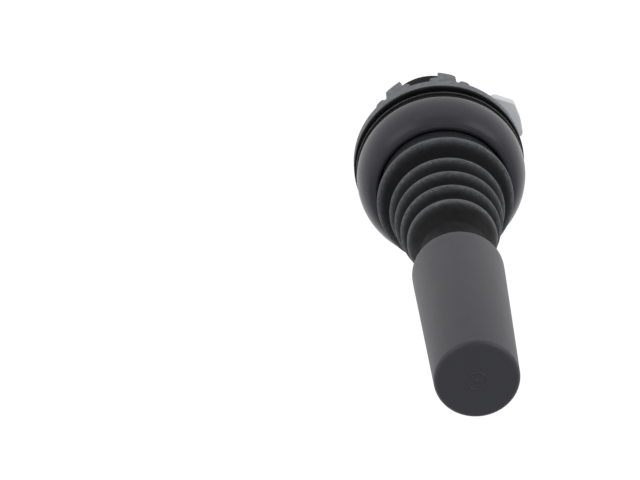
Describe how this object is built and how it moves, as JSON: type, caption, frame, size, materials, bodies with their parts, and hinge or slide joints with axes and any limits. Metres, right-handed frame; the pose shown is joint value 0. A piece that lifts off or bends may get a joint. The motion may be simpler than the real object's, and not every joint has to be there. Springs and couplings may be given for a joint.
{
  "type": "industrial joystick",
  "caption": "Panel joystick with a tapered handle on a gimbal, a ribbed rubber boot, a domed bezel, a castellated ring nut and spring-loaded plungers.",
  "frame": {"origin": "centre of the head's seat on the panel, on the barrel's axis", "axes": "+Z out of the panel along the handle at rest, +Y towards the nib that keys the head in the panel, +X to the right when the handle points at the viewer and the nib is up"},
  "size_m": [0.0372, 0.0364, 0.1203],
  "materials": {
    "black_nylon": "fine satin moulding",
    "grey_plastic": "satin moulding",
    "nut_plastic": "satin moulding",
    "handle_plastic": "fine-grained satin moulding",
    "pale_plastic": "satin moulding",
    "ivory_acetal": "smooth bearing plastic",
    "boot_rubber": "matte moulded rubber",
    "seal_rubber": "matte moulded rubber",
    "steel": "turned",
    "spring_steel": "bright drawn wire",
    "zinc": "die-cast zinc, tumbled",
    "brass": "machined"
  },
  "bodies": {
    "head": {"head_body": "black_nylon", "bezel": "grey_plastic", "bezel_seal": "seal_rubber", "boot": "boot_rubber", "panel_gasket": "seal_rubber", "thrust_washer": "black_nylon", "mounting_collar": "black_nylon", "collar_clip": "spring_steel", "gate_plate": "steel", "gate_screws": "steel", "outer_pivot_pins": "steel", "return_spring": "spring_steel", "plunger_guide": "ivory_acetal", "spacer_sleeve": "black_nylon", "rear_cover": "black_nylon", "rear_clip": "spring_steel", "spring_north": "spring_steel", "spring_south": "spring_steel", "spring_east": "spring_steel", "spring_west": "spring_steel"},
    "gimbal": {"gimbal_ring": "zinc", "inner_pivot_pins": "steel"},
    "lever": {"lever_hub": "zinc", "hub_pin": "steel", "shaft_clip": "spring_steel", "lever_shaft": "steel", "neck_bush": "black_nylon", "handle_insert": "brass", "handle_grip": "handle_plastic", "rocker_plate": "steel", "rocker_screw": "steel"},
    "nut": {"ring_nut": "nut_plastic"},
    "lock": {"locking_lever": "pale_plastic"},
    "plunger_north": {"plunger_north": "ivory_acetal"},
    "plunger_south": {"plunger_south": "ivory_acetal"},
    "plunger_east": {"plunger_east": "ivory_acetal"},
    "plunger_west": {"plunger_west": "ivory_acetal"}
  },
  "joints": [
    {"name": "tilt_x", "type": "hinge", "parent": "head", "child": "gimbal", "pos_m": [0, 0, 0.0044], "axis": [1, 0, 0], "range_deg": [-12, 12], "stiffness_Nm_per_rad": 0.25, "deforming": ["boot", "return_spring"]},
    {"name": "tilt_y", "type": "hinge", "parent": "gimbal", "child": "lever", "pos_m": [0, 0, 0.0044], "axis": [0, 1, 0], "range_deg": [-12, 12], "stiffness_Nm_per_rad": 0.25},
    {"name": "nut_turn", "type": "hinge", "parent": "head", "child": "nut", "pos_m": [0, 0, -0.005], "axis": [0, 0, 1], "continuous": true},
    {"name": "lock_turn", "type": "hinge", "parent": "head", "child": "lock", "pos_m": [0, 0, -0.0135], "axis": [0, 0, 1], "range_deg": [-40, 0]},
    {"name": "plunger_north_slide", "type": "slide", "parent": "head", "child": "plunger_north", "axis": [0, 0, 1], "range_m": [-0.00103, 0.00103], "deforming": ["spring_north"]},
    {"name": "plunger_south_slide", "type": "slide", "parent": "head", "child": "plunger_south", "axis": [0, 0, 1], "range_m": [-0.00103, 0.00103], "deforming": ["spring_south"]},
    {"name": "plunger_east_slide", "type": "slide", "parent": "head", "child": "plunger_east", "axis": [0, 0, 1], "range_m": [-0.00103, 0.00103], "deforming": ["spring_east"]},
    {"name": "plunger_west_slide", "type": "slide", "parent": "head", "child": "plunger_west", "axis": [0, 0, 1], "range_m": [-0.00103, 0.00103], "deforming": ["spring_west"]}
  ],
  "couplings": [
    {"joint": "plunger_north_slide", "follows": "tilt_x", "m_per_rad": 0.0049},
    {"joint": "plunger_south_slide", "follows": "tilt_x", "m_per_rad": -0.0049},
    {"joint": "plunger_east_slide", "follows": "tilt_y", "m_per_rad": -0.0049},
    {"joint": "plunger_west_slide", "follows": "tilt_y", "m_per_rad": 0.0049}
  ]
}
